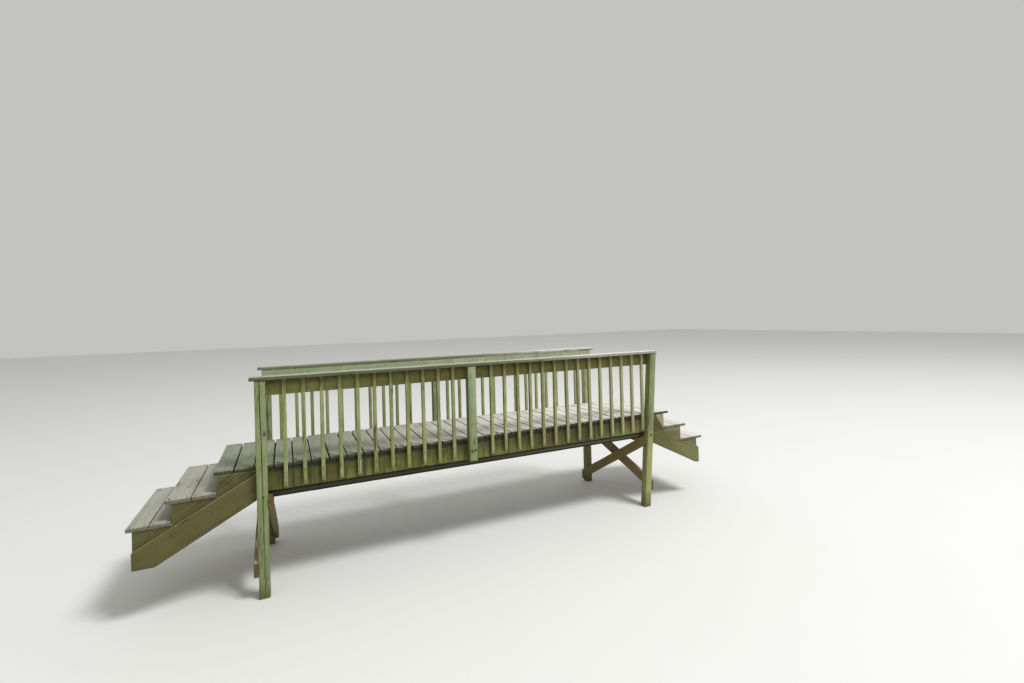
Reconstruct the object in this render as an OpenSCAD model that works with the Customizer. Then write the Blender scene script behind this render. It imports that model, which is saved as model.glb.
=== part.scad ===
// Wooden footbridge of rough timber: two picket railings on outside posts,
// a plank deck on beams, crossed braces between the end posts, and steps at both ends.
// X runs along the bridge, left to right in the photograph, Y across it, away
// from the viewer, and Z up. The floor that the post feet stand on is at zero.
// All sizes are millimetres.

/* [Lumber] */
// Side of the square railing posts
post_w = 100; // [80:1:140]
// Side of the square balusters
baluster_w = 40; // [30:1:60]
// Thickness of the planks that stand on edge and of the braces
plank_t = 40; // [30:1:55]
// Thickness of the deck boards
deck_t = 38; // [25:1:50]
// Width of one deck board
board_w = 167; // [120:1:200]
// Gap between two deck boards
board_gap = 8; // [3:1:15]

/* [Deck] */
// Width of the deck across the bridge, which is the length of its boards
deck_w = 1175; // [900:5:1500]
// Height of the deck's top above the feet of the posts
deck_z = 1270; // [1000:10:1600]
// Length from the left face of the near left post to the left face of the near right post, at the cap
post_span = 4904; // [4200:1:5600]
// Length of deck that runs on past the near left post
left_apron = 368; // [200:1:500]
// Length of deck that runs on past the near right post
right_apron = 288; // [150:1:400]

/* [Beams] */
// Depth of the outer rim planks
rim_h = 225; // [180:1:260]
// Depth of the two beams just inside the rims
beam_h = 304; // [240:1:340]
// Depth of the middle beam
middle_beam_h = 225; // [180:1:260]
// Length of each rim plank that laps behind its end post, before the step plank begins
rim_lap = 50; // [30:1:70]

/* [Posts] */
// Length from the near left post to the middle of the near middle post
near_mid_x = 2247; // [1900:1:2600]
// Length from the near left post to the middle of the far middle post
far_mid_x = 2187; // [1900:1:2600]
// Offset of the far left post from the near left post
far_left_x = 18; // [0:1:60]
// Length by which the far railing is shorter than the near one at the right end
far_short = 264; // [150:1:320]
// Lean of the near right post in degrees, its foot to the left
post_lean = 4.4; // [0:0.1:6]
// Length of a middle post below the lower edge of the rim, less than zero where it ends above
mid_hang = -5; // [-20:1:40]

/* [Railing] */
// Height of the underside of the cap above the deck
cap_under = 850; // [700:5:1000]
// Thickness of the cap
cap_t = 38; // [25:1:50]
// Width of the cap
cap_w = 150; // [120:1:200]
// Width of cap that stands out past the outer faces of the posts
cap_lap = 10; // [0:1:30]
// Length of cap that runs past the left posts
cap_left = 45; // [10:1:100]
// Length of cap that runs past the near right post
near_cap_right = 6; // [0:1:60]
// Length of cap that runs past the far right post
far_cap_right = 60; // [10:1:100]
// Depth of the rail plank under the cap
rail_h = 160; // [100:1:200]
// Height of the balusters' lower ends above the lower edge of the rim
baluster_up = 31; // [0:1:60]

/* [Balusters] */
// Number of balusters of the near railing, left of the middle post
near_left_n = 11; // [9:1:12]
// Number of balusters of the near railing, right of the middle post
near_right_n = 14; // [11:1:15]
// Number of balusters of the far railing, left of the middle post
far_left_n = 11; // [9:1:12]
// Number of balusters of the far railing, right of the middle post
far_right_n = 13; // [10:1:14]
// Distance from the near left post to the middle of the first baluster
near_left_start = 163; // [90:1:200]
// Distance from the middle of the last baluster to the near middle post
near_left_end = 161; // [90:1:200]
// Distance from the near middle post to the middle of the next baluster
near_right_start = 220; // [90:1:240]
// Clearance between the last near baluster's lower end and the leaning post
last_gap = 1; // [0.5:0.5:60]
// Distance from the far left post to the middle of the first baluster
far_left_start = 103; // [80:1:200]
// Distance from the middle of the last baluster to the far middle post
far_left_end = 143; // [80:1:200]
// Distance from the far middle post to the middle of the next baluster
far_right_start = 112; // [80:1:200]
// Distance from the middle of the last baluster to the far right post
far_right_end = 164; // [80:1:200]

/* [Braces] */
// Depth of the crossed braces, measured plumb
brace_h = 140; // [100:1:160]
// Clearance between the inner braces and the beam above their high ends
inner_gap = 6; // [3:1:40]
// Clearance between the outer braces and the level of the beam above their high ends
outer_gap = 48; // [10:1:80]
// Height of the inner braces' low ends above the feet of the posts
inner_low = 30; // [10:5:240]
// Height of the outer braces' low ends above the feet of the posts
outer_low = 220; // [10:5:320]
// Depth that a brace is let into a post that stands askew to it
brace_seat = 6; // [2:1:10]

/* [Steps] */
// Thickness of the treads
tread_t = 40; // [30:1:55]
// Width of tread that stands out past the sawn planks
tread_out = 12; // [0:1:30]
// Gap between the two boards of a tread
tread_gap = 6; // [3:1:12]
// Drop from one tread to the next at the right end
right_rise = 215; // [170:1:230]
// Length of one step at the right end
right_run = 310; // [280:1:340]
// Length of tread that stands out in front of the step below, at the right end
right_nosing = 88; // [20:1:110]
// Drop from one tread to the next at the left end
left_rise = 200; // [150:1:220]
// Length of the upper step at the left end
left_upper_run = 365; // [300:1:400]
// Length of the lower step at the left end
left_run = 300; // [260:1:340]
// Length of tread that stands out in front of the step below, at the left end
left_nosing = 45; // [15:1:70]
// Length of deck that stands out in front of the upper step, at the left end
left_deck_nosing = 25; // [10:1:60]
// Depth of wood left in a sawn plank behind the corner of each step
throat = 140; // [110:1:180]
// Depth of the straight planks that stiffen the sawn ones
side_h = 228; // [180:1:260]
// Clearance between the straight planks and the treads over them
side_gap = 6; // [3:1:15]
// Height of the first tread at the right end above the straight planks, at the upper riser
right_side_down = 29; // [10:1:60]
// Fall of the straight planks at the right end, in degrees
right_side_fall = 26; // [22:0.5:34]
// Height of the last tread above the planks' level feet
step_foot = 380; // [300:5:440]

/* [Hidden] */
rim_z = deck_z - deck_t;
rim_low = rim_z - rim_h;
beam_low = rim_z - beam_h;
face_y = deck_w / 2;
outer_y = face_y + post_w;
inner_y = face_y - plank_t;
cap_z = deck_z + cap_under;
near_right_x = post_span;
far_right_x = post_span - far_short;
deck_x0 = -left_apron;
deck_x1 = post_span + post_w + right_apron;
deck_len = deck_x1 - deck_x0;
pitch = board_w + board_gap;
board_n = round(deck_len / pitch);
last_w = deck_len - (board_n - 1) * pitch;
left_to = floor(board_n / 3);
right_from = floor(board_n * 2 / 3);
baluster_low = rim_low + baluster_up;
baluster_h = cap_z - baluster_low;
lean_dx = tan(post_lean);
near_last_x = post_span - lean_dx * baluster_h - last_gap - baluster_w / 2;
inner_top = beam_low - inner_gap;
outer_top = beam_low - outer_gap;
near_inner_x = post_span - lean_dx * (cap_z - inner_top) + brace_seat;
near_outer_x = post_span + post_w - lean_dx * (cap_z - outer_low) - brace_seat;
join_x0 = rim_lap;
join_x1 = post_span - lean_dx * (cap_z - rim_z) + rim_lap;
beam_x1 = post_span + post_w;
frame_x0 = deck_x0 + left_deck_nosing;
frame_x1 = deck_x1 - right_nosing;
left_side_slope = left_rise / left_upper_run;
left_side_edge = deck_z - left_rise - tread_t - 2 * side_gap;
right_side_slope = tan(right_side_fall);
right_side_edge = deck_z - right_rise - tread_t - right_side_down;
post_foot_x = beam_x1 - lean_dx * cap_z;
side_reach = right_side_edge + right_side_slope * (frame_x1 - post_foot_x);
near_side_x1 = post_foot_x + lean_dx * side_reach / (1 + right_side_slope * lean_dx);
x_min = frame_x0 - left_upper_run - left_run - left_nosing;
x_max = frame_x1 + 2 * right_run + right_nosing;
x_mid = (x_min + x_max) / 2;

// Choose one piece, or all of them

green = [0.55, 0.58, 0.42];
olive = [0.42, 0.41, 0.26];
grey = [0.62, 0.62, 0.58];

// Moves a piece from the bridge's own measure, where x is taken from the left face of the
// near left post, to the shared frame, whose origin is under the middle of the object.
module placed() {
  translate([-x_mid, 0, 0]) children();
}

// Stands a flat outline in XZ up as a plank, from y1 to t nearer to the viewer.
module plank(y1, t) {
  translate([0, y1, 0])
    rotate([90, 0, 0])
      linear_extrude(height = t)
        children();
}

// A square post that stands on the floor or hangs from the rim. A leaning one
// keeps its head under the cap and its foot level.
module post(x, side, low, lean) {
  high = cap_z - low;
  dx = lean * high;
  plank(side < 0 ? -face_y : outer_y, post_w)
    translate([x, low])
      polygon([[-dx, 0], [post_w - dx, 0], [post_w, high], [0, high]]);
}

// Evenly spaced balusters, the first and last at the given middles.
module balusters(first, last, n, side) {
  y0 = side < 0 ? -face_y - baluster_w : face_y;
  step = (last - first) / (n - 1);
  for (i = [0 : n - 1])
    translate([first + i * step - baluster_w / 2, y0, baluster_low])
      cube([baluster_w, baluster_w, baluster_h]);
}

// A cap board flat on top of the posts and balusters.
module cap(x0, x1, side) {
  y0 = side < 0 ? -outer_y - cap_lap : outer_y + cap_lap - cap_w;
  translate([x0, y0, cap_z])
    cube([x1 - x0, cap_w, cap_t]);
}

// The plank on edge under the cap, on the deck side of the posts.
module rail(x0, x1, side) {
  y0 = side < 0 ? -face_y : inner_y;
  translate([x0, y0, cap_z - rail_h])
    cube([x1 - x0, plank_t, rail_h]);
}

// The outer plank under the ends of the deck boards, whose ends lap behind the end posts.
module rim(side) {
  y0 = side < 0 ? -face_y : inner_y;
  translate([join_x0, y0, rim_low])
    cube([join_x1 - join_x0, plank_t, rim_h]);
}

// The deeper beam against the inside of a rim, past the joints with the step planks.
module beam(side) {
  y0 = side < 0 ? -inner_y : inner_y - plank_t;
  translate([0, y0, beam_low])
    cube([beam_x1, plank_t, beam_h]);
}

// A cross plank between the step planks, under the last deck board.
module header(x) {
  translate([x, -inner_y, rim_low])
    cube([plank_t, 2 * inner_y, rim_h]);
}

// Full deck boards with open gaps, from board a to board b.
module boards(a, b) {
  for (i = [a : b])
    translate([deck_x0 + i * pitch, -face_y, rim_z])
      cube([board_w, deck_w, deck_t]);
}

// One brace across the bridge, plumb at both ends, from xa at the near side to xb at the far
// side. Its upper edge passes the beam's outer face at top, and its low end stands at low.
module brace(xa, xb, top, low, near_high) {
  slope = (top - low - brace_h) / (outer_y + inner_y);
  high = top + slope * (outer_y - inner_y) - brace_h;
  za = near_high ? high : low;
  zb = near_high ? low : high;
  askew = xb - xa;
  reach = sqrt(askew * askew + 4 * outer_y * outer_y);
  translate([xa, -outer_y, 0])
    rotate([0, 0, -atan2(askew, 2 * outer_y)])
      rotate([90, 0, 90])
        linear_extrude(height = plank_t)
          polygon([[0, za], [reach, zb], [reach, zb + brace_h], [0, za + brace_h]]);
}

// Outline of a plank with two sawn steps that goes down to the right from the upper step's
// riser. It reaches back behind the end post at the depth of the rim.
module sawn_outline(back, rise, run1, run2) {
  seat1 = deck_z - rise - tread_t;
  seat2 = seat1 - rise;
  foot = deck_z - 2 * rise - step_foot;
  slope = rise / run1;
  edge = seat1 - throat * sqrt(1 + slope * slope);
  bend = max((edge - rim_low) / slope, -back + plank_t);
  end = run1 + run2;
  foot_x = (edge - foot) / slope;
  toe = foot_x < end ? [[end, foot], [foot_x, foot]] : [[end, edge - slope * end]];
  polygon(concat(
    [[-back, rim_z], [0, rim_z], [0, seat1], [run1, seat1], [run1, seat2], [end, seat2]],
    toe,
    [[bend, edge - slope * bend], [-back, rim_low]]
  ));
}

// Outline of the straight plank that stiffens a sawn one. Its upper edge passes the upper
// riser at the height edge and falls by slope. It is cut away where it would meet a tread.
module side_outline(back, rise, run1, run2, edge, slope) {
  seat1 = deck_z - rise - tread_t - side_gap;
  seat2 = seat1 - rise;
  depth = side_h * sqrt(1 + slope * slope);
  roof = rim_z - side_gap;
  foot = deck_z - 2 * rise - step_foot;
  end = run1 + run2;
  step = run1 - side_gap;
  intersection() {
    polygon([
      [-back, edge + slope * back], [end, edge - slope * end],
      [end, edge - depth - slope * end], [-back, edge - depth + slope * back]
    ]);
    polygon([
      [-back, roof], [-side_gap, roof], [-side_gap, seat1], [step, seat1],
      [step, seat2], [end, seat2], [end, foot], [-back, foot]
    ]);
  }
}

// The treads of one flight, two boards each, drawn going down to the right.
module treads(rise, run1, run2, nosing) {
  w = 2 * (face_y + tread_out);
  for (k = [1 : 2]) {
    x0 = k == 1 ? 0 : run1;
    half = ((k == 1 ? run1 : run2) + nosing - tread_gap) / 2;
    for (j = [0 : 1])
      translate([x0 + j * (half + tread_gap), -w / 2, deck_z - k * rise - tread_t])
        cube([half, w, tread_t]);
  }
}

// Turns a flight that goes down to the right into the one at the left end.
module to_left() {
  translate([frame_x0, 0, 0]) mirror([1, 0, 0]) children();
}

module to_right() {
  translate([frame_x1, 0, 0]) children();
}

module near_left_post() {
  color(green) placed() post(0, -1, 0, 0);
}

module near_middle_post() {
  color(green) placed() post(near_mid_x - post_w / 2, -1, rim_low - mid_hang, 0);
}

module near_right_post() {
  color(green) placed() post(post_span, -1, 0, lean_dx);
}

module far_left_post() {
  color(green) placed() post(far_left_x, 1, 0, 0);
}

module far_middle_post() {
  color(green) placed() post(far_mid_x - post_w / 2, 1, rim_low - mid_hang, 0);
}

module far_right_post() {
  color(green) placed() post(far_right_x, 1, 0, 0);
}

module near_cap() {
  color(grey) placed() cap(-cap_left, near_right_x + post_w + near_cap_right, -1);
}

module far_cap() {
  color(grey) placed() cap(far_left_x - cap_left, far_right_x + post_w + far_cap_right, 1);
}

module near_rail() {
  color(olive) placed() rail(0, near_right_x + post_w, -1);
}

module far_rail() {
  color(olive) placed() rail(far_left_x, far_right_x + post_w, 1);
}

module near_left_balusters() {
  color(green) placed()
    balusters(post_w + near_left_start, near_mid_x - post_w / 2 - near_left_end, near_left_n, -1);
}

module near_right_balusters() {
  color(green) placed()
    balusters(near_mid_x + post_w / 2 + near_right_start, near_last_x, near_right_n, -1);
}

module far_left_balusters() {
  first = far_left_x + post_w + far_left_start;
  color(green) placed()
    balusters(first, far_mid_x - post_w / 2 - far_left_end, far_left_n, 1);
}

module far_right_balusters() {
  first = far_mid_x + post_w / 2 + far_right_start;
  color(green) placed()
    balusters(first, far_right_x - far_right_end, far_right_n, 1);
}

module near_rim() {
  color(olive) placed() rim(-1);
}

module far_rim() {
  color(olive) placed() rim(1);
}

module near_beam() {
  color(olive) placed() beam(-1);
}

module far_beam() {
  color(olive) placed() beam(1);
}

module middle_beam() {
  color(olive) placed()
    translate([frame_x0 + plank_t, -plank_t / 2, rim_z - middle_beam_h])
      cube([frame_x1 - frame_x0 - 2 * plank_t, plank_t, middle_beam_h]);
}

module left_header() {
  color(olive) placed() header(frame_x0);
}

module right_header() {
  color(olive) placed() header(frame_x1 - plank_t);
}

module deck_left() {
  color(grey) placed() boards(0, left_to - 1);
}

module deck_middle() {
  color(grey) placed() boards(left_to, right_from - 1);
}

module deck_right() {
  color(grey) placed() {
    boards(right_from, board_n - 2);
    translate([deck_x1 - last_w, -face_y, rim_z])
      cube([last_w, deck_w, deck_t]);
  }
}

module left_brace_inner() {
  color(olive) placed() difference() {
    brace(post_w, far_left_x + post_w, inner_top, inner_low, true);
    post(0, -1, 0, 0);
    post(far_left_x, 1, 0, 0);
  }
}

module left_brace_outer() {
  color(olive) placed() difference() {
    brace(-plank_t, far_left_x - plank_t, outer_top, outer_low, false);
    post(0, -1, 0, 0);
    post(far_left_x, 1, 0, 0);
  }
}

module right_brace_inner() {
  color(olive) placed() difference() {
    brace(near_inner_x - plank_t, far_right_x + brace_seat - plank_t, inner_top, inner_low, true);
    post(post_span, -1, 0, lean_dx);
    post(far_right_x, 1, 0, 0);
  }
}

module right_brace_outer() {
  color(olive) placed() difference() {
    brace(near_outer_x, far_right_x + post_w - brace_seat, outer_top, outer_low, false);
    post(post_span, -1, 0, lean_dx);
    post(far_right_x, 1, 0, 0);
  }
}

module left_string_near() {
  color(olive) placed() to_left() plank(-inner_y, plank_t)
    sawn_outline(join_x0 - frame_x0, left_rise, left_upper_run, left_run);
}

module left_string_far() {
  color(olive) placed() to_left() plank(face_y, plank_t)
    sawn_outline(join_x0 - frame_x0, left_rise, left_upper_run, left_run);
}

module left_side_near() {
  color(olive) placed() to_left() plank(-face_y, plank_t)
    side_outline(-frame_x0, left_rise, left_upper_run, left_run, left_side_edge, left_side_slope);
}

module left_side_far() {
  color(olive) placed() to_left() plank(face_y + plank_t, plank_t)
    side_outline(far_left_x - frame_x0, left_rise, left_upper_run, left_run,
                 left_side_edge, left_side_slope);
}

module left_treads() {
  color(grey) placed() to_left() treads(left_rise, left_upper_run, left_run, left_nosing);
}

module right_string_near() {
  color(olive) placed() to_right() plank(-inner_y, plank_t)
    sawn_outline(frame_x1 - join_x1, right_rise, right_run, right_run);
}

module right_string_far() {
  color(olive) placed() to_right() plank(face_y, plank_t)
    sawn_outline(frame_x1 - join_x1, right_rise, right_run, right_run);
}

module right_side_near() {
  color(olive) placed() to_right() plank(-face_y, plank_t)
    side_outline(frame_x1 - near_side_x1, right_rise, right_run, right_run,
                 right_side_edge, right_side_slope);
}

module right_side_far() {
  color(olive) placed() to_right() plank(face_y + plank_t, plank_t)
    side_outline(frame_x1 - far_right_x - post_w, right_rise, right_run, right_run,
                 right_side_edge, right_side_slope);
}

module right_treads() {
  color(grey) placed() to_right() treads(right_rise, right_run, right_run, right_nosing);
}

near_left_post();
near_middle_post();
near_right_post();
far_left_post();
far_middle_post();
far_right_post();
near_cap();
far_cap();
near_rail();
far_rail();
near_left_balusters();
near_right_balusters();
far_left_balusters();
far_right_balusters();
near_rim();
far_rim();
near_beam();
far_beam();
middle_beam();
left_header();
right_header();
deck_left();
deck_middle();
deck_right();
left_brace_inner();
left_brace_outer();
right_brace_inner();
right_brace_outer();
left_string_near();
left_string_far();
left_side_near();
left_side_far();
left_treads();
right_string_near();
right_string_far();
right_side_near();
right_side_far();
right_treads();
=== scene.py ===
import math
import random

import bmesh
import bpy
from mathutils import Matrix, Vector


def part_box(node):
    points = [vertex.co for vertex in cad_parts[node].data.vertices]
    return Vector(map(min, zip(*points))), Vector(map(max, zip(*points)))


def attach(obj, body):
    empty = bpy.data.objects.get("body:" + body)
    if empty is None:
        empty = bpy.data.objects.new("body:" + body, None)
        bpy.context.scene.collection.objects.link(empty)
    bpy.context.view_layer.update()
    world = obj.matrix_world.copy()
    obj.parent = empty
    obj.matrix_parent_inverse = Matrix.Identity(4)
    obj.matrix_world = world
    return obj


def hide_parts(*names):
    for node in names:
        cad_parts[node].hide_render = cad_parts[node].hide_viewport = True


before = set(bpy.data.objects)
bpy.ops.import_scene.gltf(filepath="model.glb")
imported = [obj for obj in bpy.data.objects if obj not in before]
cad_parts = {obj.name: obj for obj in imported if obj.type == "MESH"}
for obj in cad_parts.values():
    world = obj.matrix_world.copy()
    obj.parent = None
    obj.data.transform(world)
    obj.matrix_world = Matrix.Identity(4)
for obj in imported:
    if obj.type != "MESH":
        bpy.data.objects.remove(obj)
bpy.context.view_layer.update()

bl_info = {
    "name": "Timber Footbridge",
    "version": (1, 0, 0),
    "blender": (4, 5, 0),
    "location": "View3D > Sidebar > Footbridge",
    "description": "Dresses a packed footbridge as rough weathered timber",
    "category": "Add Mesh",
}


# The photograph's view, in metres, radians and the lens in millimetres
EYE = Vector((-2.1371, -6.0009, 2.6633))
EYE_TURN = 0.438
EYE_ROLL = -0.0269
EYE_LENS = 17.0244
EYE_SHIFT = -0.02253

# Axes, and names that several nodes share
X, Y, Z = range(3)
SIDES = ("near", "far")
DECK = ("deck_left", "deck_middle", "deck_right")

# Levels and lines of the frame that the finish follows
CAP_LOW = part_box("near_cap")[0].z
RAIL_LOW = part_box("near_rail")[0].z
BEAM_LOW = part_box("near_beam")[0].z
RIM_LOW, RIM_HIGH = (corner.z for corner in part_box("near_rim"))
RIM_LINE = sum(corner.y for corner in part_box("far_rim")) / 2
DECK_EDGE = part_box("deck_left")[1].y
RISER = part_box("right_header")[1].x

# Margin of the nails from a board's long edges, and the levels of the other nails and the bolts
BOARD_NAIL = 0.03
PICKET_NAILS = (CAP_LOW - 0.035, RAIL_LOW + 0.035, RIM_HIGH - 0.05, RIM_LOW + 0.065)
MIDDLE_BOLT = RIM_LOW + 0.125
END_BOLT = RIM_LOW - 0.02

# Rounded edges shade smoothly up to this angle
SMOOTH_UNDER = math.radians(42)


# Sizes and colours

def size_prop(name, description, default, low, high):
    return bpy.props.FloatProperty(
        name=name, description=description, default=default, min=low, max=high,
        precision=4, subtype="DISTANCE", unit="LENGTH")


def colour_prop(name, description, default):
    return bpy.props.FloatVectorProperty(
        name=name, description=description, default=default, size=3,
        min=0.0, max=1.0, subtype="COLOR")


class FootbridgeSizes(bpy.types.PropertyGroup):
    """Sizes of the timber's finish and of the fixings."""

    arris: size_prop("Arris", "Rounding of the sawn edges", 0.0035, 0.001, 0.01)
    seam: size_prop("Edge strip", "Width of the strip beside an edge that wears", 0.009, 0.003, 0.02)
    wane: size_prop("Edge wear", "How deep the edges are worn in places", 0.004, 0.0, 0.01)
    uneven: size_prop("Unevenness", "How far the sawn faces wander", 0.003, 0.0, 0.01)
    crook: size_prop("Crook", "How far a loose end of a baluster wanders", 0.004, 0.0, 0.02)
    check_width: size_prop("Check width", "Width of the long drying check in a post", 0.008, 0.001, 0.02)
    check_depth: size_prop("Check depth", "Depth of the long drying check", 0.03, 0.005, 0.05)
    nail: size_prop("Nail head", "Radius of a nail head", 0.0045, 0.002, 0.01)
    bolt: size_prop("Bolt head", "Radius of a bolt head over its corners", 0.0095, 0.005, 0.03)
    washer: size_prop("Washer", "Radius of the washer under a bolt head", 0.0135, 0.01, 0.05)


class FootbridgeColours(bpy.types.PropertyGroup):
    """Colours of the weathered timber, the iron and the floor."""

    post: colour_prop("Posts", "Sound colour of the posts", (0.29, 0.35, 0.16))
    picket: colour_prop("Balusters", "Sound colour of the balusters", (0.3, 0.365, 0.145))
    cap: colour_prop("Caps", "Colour of the cap boards", (0.44, 0.48, 0.36))
    rail: colour_prop("Rails", "Colour of the planks behind the balusters", (0.275, 0.265, 0.07))
    beam: colour_prop("Beams", "Colour of the rims and beams", (0.215, 0.23, 0.058))
    deck: colour_prop("Deck", "Colour of the deck boards", (0.42, 0.42, 0.35))
    brace: colour_prop("Braces", "Colour of the braces", (0.25, 0.18, 0.07))
    string: colour_prop("Step planks", "Colour of the planks under the steps", (0.145, 0.12, 0.054))
    tread: colour_prop("Treads", "Colour of the treads", (0.5, 0.49, 0.42))
    algae: colour_prop("Algae", "Colour of the green film on shaded wood", (0.17, 0.23, 0.055))
    silver: colour_prop("Silvering", "Colour of wood bleached by rain and sun", (0.5, 0.5, 0.44))
    soil: colour_prop("Dirt", "Colour of dirt in checks and joints", (0.04, 0.032, 0.018))
    iron: colour_prop("Iron", "Colour of the nails and bolts", (0.022, 0.017, 0.013))
    floor: colour_prop("Floor", "Colour of the floor", (0.8, 0.8, 0.78))


# Modelling helpers

def clear():
    """Leaves edit mode and deselects everything."""
    if bpy.context.object and bpy.context.object.mode != "OBJECT":
        bpy.ops.object.mode_set(mode="OBJECT")
    bpy.ops.object.select_all(action="DESELECT")


def only(ob):
    """Selects one object and makes it the active one."""
    clear()
    ob.select_set(True)
    bpy.context.view_layer.objects.active = ob


def edit_mode(on):
    bpy.ops.object.mode_set(mode="EDIT" if on else "OBJECT")


def pick_all(on=True):
    """Selects, in edit mode, the whole mesh or nothing of it."""
    bpy.ops.mesh.select_all(action="SELECT" if on else "DESELECT")


def pick_edges(ob, test):
    """Selects, in edit mode, the edges whose two ends pass the test."""
    pick_all(False)
    work = bmesh.from_edit_mesh(ob.data)
    for edge in work.edges:
        edge.select = bool(test(edge.verts[0].co, edge.verts[1].co))
    bmesh.update_edit_mesh(ob.data)


def pick_top(ob):
    """Selects, in edit mode, the faces that look up."""
    pick_all(False)
    work = bmesh.from_edit_mesh(ob.data)
    for face in work.faces:
        face.select = face.normal.z > 0.9
    bmesh.update_edit_mesh(ob.data)


def soften(offset, clamp=False):
    """Rounds the selected edges."""
    bpy.ops.mesh.bevel(offset=offset, segments=2, affect="EDGES", clamp_overlap=clamp)


def cut(point, normal):
    """Cuts a line round the whole mesh where a plane meets it."""
    pick_all()
    bpy.ops.mesh.bisect(plane_co=point, plane_no=normal)


def copy_of(mesh):
    """A new object with a mesh of its own."""
    ob = bpy.data.objects.new("timber", mesh.copy())
    bpy.context.collection.objects.link(ob)
    return ob


def sizes():
    return bpy.context.scene.footbridge_sizes


def colours():
    return bpy.context.scene.footbridge_colours


def note(ob, name, values):
    """Stores a number or a vector for each point, for the shader to read."""
    single = len(values) == len(ob.data.vertices)
    mark = ob.data.attributes.new(name, "FLOAT" if single else "FLOAT_VECTOR", "POINT")
    mark.data.foreach_set("value" if single else "vector", values)


def note_edges(ob, test):
    """Marks the points on the rounded edges, for the worn edge finish."""
    group = ob.vertex_groups.new(name="edges")
    on_edge = [bool(test(vertex.co)) for vertex in ob.data.vertices]
    group.add([index for index, marked in enumerate(on_edge) if marked], 1.0, "REPLACE")
    note(ob, "arris", [float(marked) for marked in on_edge])


def note_grain(ob, place, rng, half_length, half_width):
    """Stores each point in the timber's own measure, its way, its margins to end and edge, and the tone."""
    inverse = place.inverted()
    shift = Vector((rng.uniform(0, 40), rng.uniform(-0.12, 0.12), rng.uniform(-0.12, 0.12)))
    along = (place.to_3x3() @ Vector((1, 0, 0))).normalized()
    points, margins = [], []
    for vertex in ob.data.vertices:
        local = inverse @ vertex.co
        points.extend(local + shift)
        margins.extend((half_length - abs(local.x), half_width - abs(local.y), 0.0))
    count = len(ob.data.vertices)
    note(ob, "grain", points)
    note(ob, "way", list(along) * count)
    note(ob, "margin", margins)
    note(ob, "tone", [rng.random()] * count)


patterns = {}


def pattern(length, width, depth, rings):
    """A sawn timber along X about the origin, modelled once for each size."""
    key = (round(length, 4), round(width, 4), round(depth, 4), rings)
    if key in patterns:
        return patterns[key]
    seam = sizes().seam
    clear()
    bpy.ops.mesh.primitive_cube_add(size=1, location=(0, 0, 0), scale=(length, width, depth))
    ob = bpy.context.object
    ob.name = "pattern_%d" % len(patterns)
    bpy.ops.object.transform_apply(location=True, rotation=True, scale=True)
    edit_mode(True)
    pick_all()
    soften(sizes().arris)
    for axis, half in ((Y, width / 2), (Z, depth / 2), (X, length / 2)):
        for side in (-1, 1):
            point, normal = Vector(), Vector()
            point[axis] = side * (half - seam)
            normal[axis] = 1
            cut(point, normal)
    broad, slender = 0.09, 12
    if width > broad or length / width > slender:
        cut((0, 0, 0), (0, 1, 0))
    pick_edges(ob, lambda a, b: abs(a.x - b.x) > length * 0.6)
    bpy.ops.mesh.subdivide(number_cuts=rings)
    edit_mode(False)
    limit = [size / 2 - seam * 0.7 for size in (length, width, depth)]
    note_edges(ob, lambda co: sum(abs(co[i]) > limit[i] for i in (X, Y, Z)) > 1)
    ob.hide_render = True
    ob.hide_viewport = True
    patterns[key] = ob
    return ob


def axes_for(along, across, flip_long, flip_flat):
    """Turns a pattern's X along one axis and its Y across another."""
    x, y = Vector(), Vector()
    x[along] = -1 if flip_long else 1
    y[across] = -1 if flip_flat else 1
    return Matrix((x, y, x.cross(y))).transposed().to_4x4()


def leaning(lean, level):
    """Slides what stands above or below a level along X, by lean for each metre."""
    slide = Matrix.Identity(4)
    slide[X][Z], slide[X][3] = lean, -lean * level
    return slide


def lay(low, high, along, across, rng, rings, settle=None):
    """Copies a timber into the box between two corners, with its own grain and slight faults."""
    size = high - low
    deep = X + Y + Z - along - across
    ob = copy_of(pattern(size[along], size[across], size[deep], rings).data)
    ob.vertex_groups.new(name="edges")
    place = (Matrix.Translation((low + high) / 2)
             @ axes_for(along, across, rng.random() < 0.5, rng.random() < 0.5))
    if settle:
        place = settle @ place
    ob.data.transform(place)
    note_grain(ob, place, rng, size[along] / 2, size[across] / 2)
    return ob


def merge(name, parts):
    """Joins timbers into one piece."""
    only(parts[0])
    for part in parts[1:]:
        part.select_set(True)
    if len(parts) > 1:
        bpy.ops.object.join()
    ob = parts[0]
    ob.name = name
    ob.data.name = name
    return ob


def wear(ob, name, scale, depth, strength, rest, group=""):
    """Shifts the points along their normals by a cloudy pattern, all of them or one group."""
    texture = bpy.data.textures.get(name) or bpy.data.textures.new(name, "CLOUDS")
    texture.noise_scale = scale
    texture.noise_depth = depth
    shift = ob.modifiers.new(name, "DISPLACE")
    shift.texture = texture
    shift.texture_coords = "LOCAL"
    shift.strength = strength
    shift.mid_level = rest
    shift.vertex_group = group
    bpy.ops.object.modifier_apply(modifier=name)


def age(ob, uneven=1.0, wane=1.0):
    """Lets the sawn faces wander and wears the edges in places."""
    only(ob)
    wear(ob, "broad unevenness", scale=0.22, depth=1, strength=sizes().uneven * uneven, rest=1.0)
    wear(ob, "edge nicks", scale=0.035, depth=2, strength=-sizes().wane * wane, rest=0.0, group="edges")
    bpy.ops.object.shade_smooth_by_angle(angle=SMOOTH_UNDER)


def finish_piece(ob, material, slot, *nodes):
    """Gives a piece its material and its body, and hides the CAD nodes that it stands for."""
    ob.data.materials.clear()
    ob.data.materials.append(material)
    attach(ob, "root")
    if nodes:
        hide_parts(*nodes)


def complete(node, kind, parts, wood, slot, **wears):
    """Joins and ages the timbers that replace a CAD node, and gives them their finish."""
    piece = merge(node + kind, parts)
    age(piece, **wears)
    finish_piece(piece, finish(wood), slot, node)


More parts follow.
